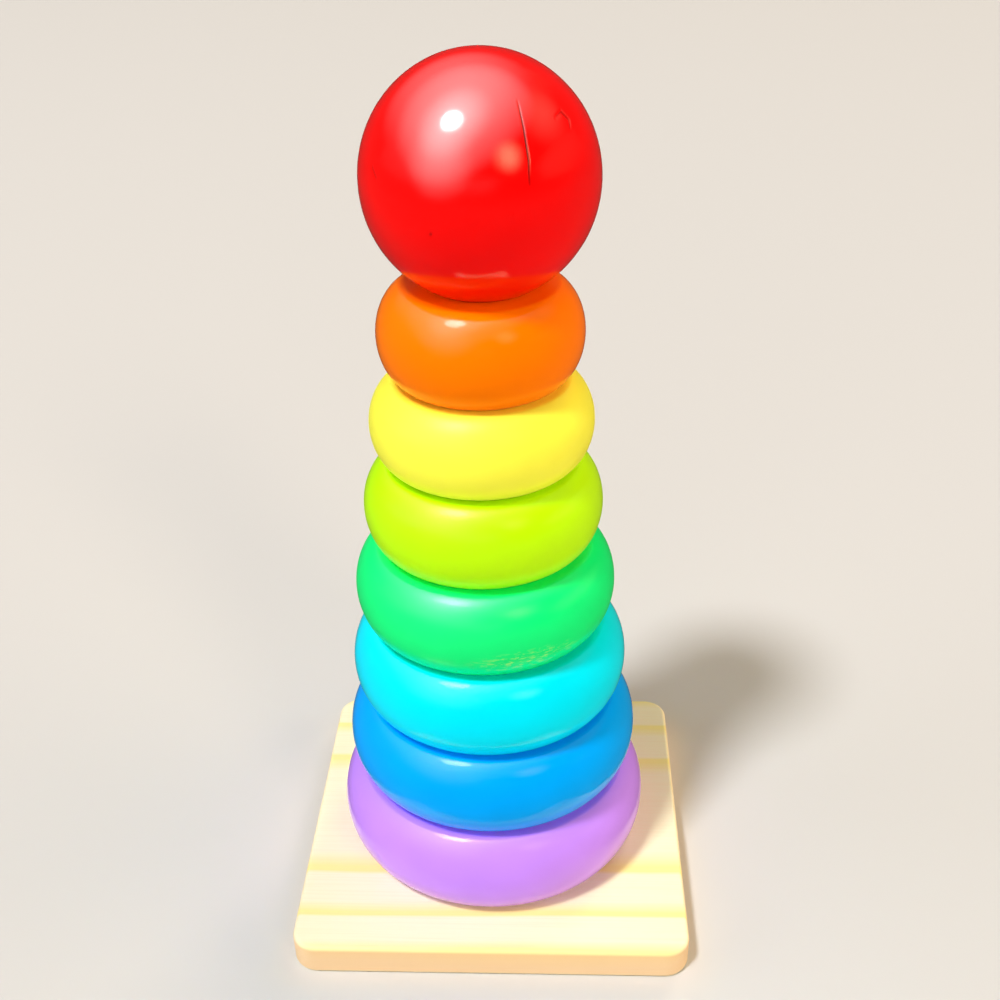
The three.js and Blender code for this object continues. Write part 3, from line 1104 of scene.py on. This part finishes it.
def drive_screw():
    low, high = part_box("peg_screw")
    length = high.z - low.z
    head = (high.x - low.x) / 2
    angles = [2 * math.pi * i / SCREW_COLUMNS for i in range(SCREW_COLUMNS)]

    def loop(height, reach_of):
        return [towards(a, 0.0) * reach_of(a) + Vector((0, 0, low.z + height)) for a in angles]

    rows = [loop(RECESS_DEPTH, lambda angle: 0.0)]
    for height, share in ((RECESS_DEPTH, RECESS_TAPER), (0.0, 1.0)):
        arm = RECESS_ARM * share
        half_width = RECESS_HALF_WIDTH * share
        rows.append(loop(height, lambda angle: plus_reach(angle, arm, half_width)))
    rows.append(loop(0.0, lambda angle: head - SCREW_HEAD_EDGE))
    rows.append(loop(SCREW_HEAD_EDGE, lambda angle: head))
    steps = round((length - SCREW_HEAD_HEIGHT) / SCREW_ROW)
    for step in range(steps + 1):
        height = SCREW_HEAD_HEIGHT + (length - SCREW_HEAD_HEIGHT) * step / steps
        rows.append(loop(height, lambda angle: thread_reach(height, angle, length)))
    return sewn("wood_screw", rows)


wood_screw = drive_screw()
print("The screw is", round(wood_screw.dimensions.z / MM, 1), "mm long")

# %% [markdown]
# ## Zinc
# The screw is zinc-plated steel, which is dull and cloudy rather than bright. A plain metal would look
# like chrome, so slow noise varies its grey and its roughness.

# %% The screw's material
STEEL_CLOUD_SCALE = 900.0
STEEL_CLOUDS = (0.3, 0.7)
STEEL_PALE = (0.80, 0.81, 0.83)
STEEL_DARK = (0.70, 0.71, 0.74)
STEEL_ROUGHNESS = (0.25, 0.4)


def zinc_steel(name):
    material, tree, shader = new_material(name)
    cloud = noise_at(tree, object_place(tree), STEEL_CLOUD_SCALE, detail=4.0)
    share = ranged(tree, cloud, STEEL_CLOUDS, (0.0, 1.0))
    steel = mixed(tree, share, linear(STEEL_PALE), linear(STEEL_DARK))
    tree.links.new(steel, shader.inputs["Base Color"])
    tree.links.new(ranged(tree, cloud, STEEL_CLOUDS, STEEL_ROUGHNESS), shader.inputs["Roughness"])
    shader.inputs["Metallic"].default_value = 1.0
    return material


dress(wood_screw, "peg_screw", zinc_steel("screw_steel"))

# %% [markdown]
# ## The floor
# A plain pale floor carries the toy and takes its shadow. It could be a table top with a grain, but that
# would draw the eye from the toy. It is wide enough that the view from the camera ends on it, so no
# horizon shows behind the ball. The gloss doesn't show it, because that would wash out the paint.

# %% Lay the floor
FLOOR_HALF = 2.5
FLOOR_COLOUR = (0.83, 0.83, 0.83)
FLOOR_ROUGHNESS = 0.7


def lay_floor():
    mesh = bpy.data.meshes.new("floor")
    corners = [(-1, -1), (1, -1), (1, 1), (-1, 1)]
    mesh.from_pydata([(x * FLOOR_HALF, y * FLOOR_HALF, 0.0) for x, y in corners], [], [(0, 1, 2, 3)])
    material, _, shader = new_material("pale_floor")
    shader.inputs["Base Color"].default_value = linear(FLOOR_COLOUR)
    shader.inputs["Roughness"].default_value = FLOOR_ROUGHNESS
    shader.inputs["Specular IOR Level"].default_value = 0.0
    mesh.materials.append(material)
    floor = bpy.data.objects.new("floor", mesh)
    floor.visible_glossy = False
    scene.collection.objects.link(floor)


lay_floor()
print("The floor is", 2 * FLOOR_HALF, "metres wide")

# %% [markdown]
# ## The backdrop
# Seen from low down, the floor ends, and a dark studio would show behind the toy. A wider floor would do,
# but it would be lit unevenly towards the lamps. So a large pale sphere lies round everything. Only the
# camera sees it: it lights nothing, shows in no gloss and casts no shadow.

# %% Hang the backdrop
BACKDROP_RADIUS = 6.0
BACKDROP_DIVISIONS = 4
BACKDROP_COLOUR = (0.93, 0.90, 0.86)
BLACK = (0.0, 0.0, 0.0)


def hang_backdrop():
    body = bmesh.new()
    bmesh.ops.create_icosphere(body, subdivisions=BACKDROP_DIVISIONS, radius=BACKDROP_RADIUS)
    mesh = bpy.data.meshes.new("backdrop")
    body.to_mesh(mesh)
    body.free()
    material, _, shader = new_material("pale_backdrop")
    shader.inputs["Base Color"].default_value = linear(BLACK)
    shader.inputs["Specular IOR Level"].default_value = 0.0
    shader.inputs["Emission Color"].default_value = linear(BACKDROP_COLOUR)
    shader.inputs["Emission Strength"].default_value = 1.0
    mesh.materials.append(material)
    backdrop = bpy.data.objects.new("backdrop", mesh)
    backdrop.visible_diffuse = False
    backdrop.visible_glossy = False
    backdrop.visible_shadow = False
    scene.collection.objects.link(backdrop)


hang_backdrop()
print("The backdrop is", 2 * BACKDROP_RADIUS, "metres wide")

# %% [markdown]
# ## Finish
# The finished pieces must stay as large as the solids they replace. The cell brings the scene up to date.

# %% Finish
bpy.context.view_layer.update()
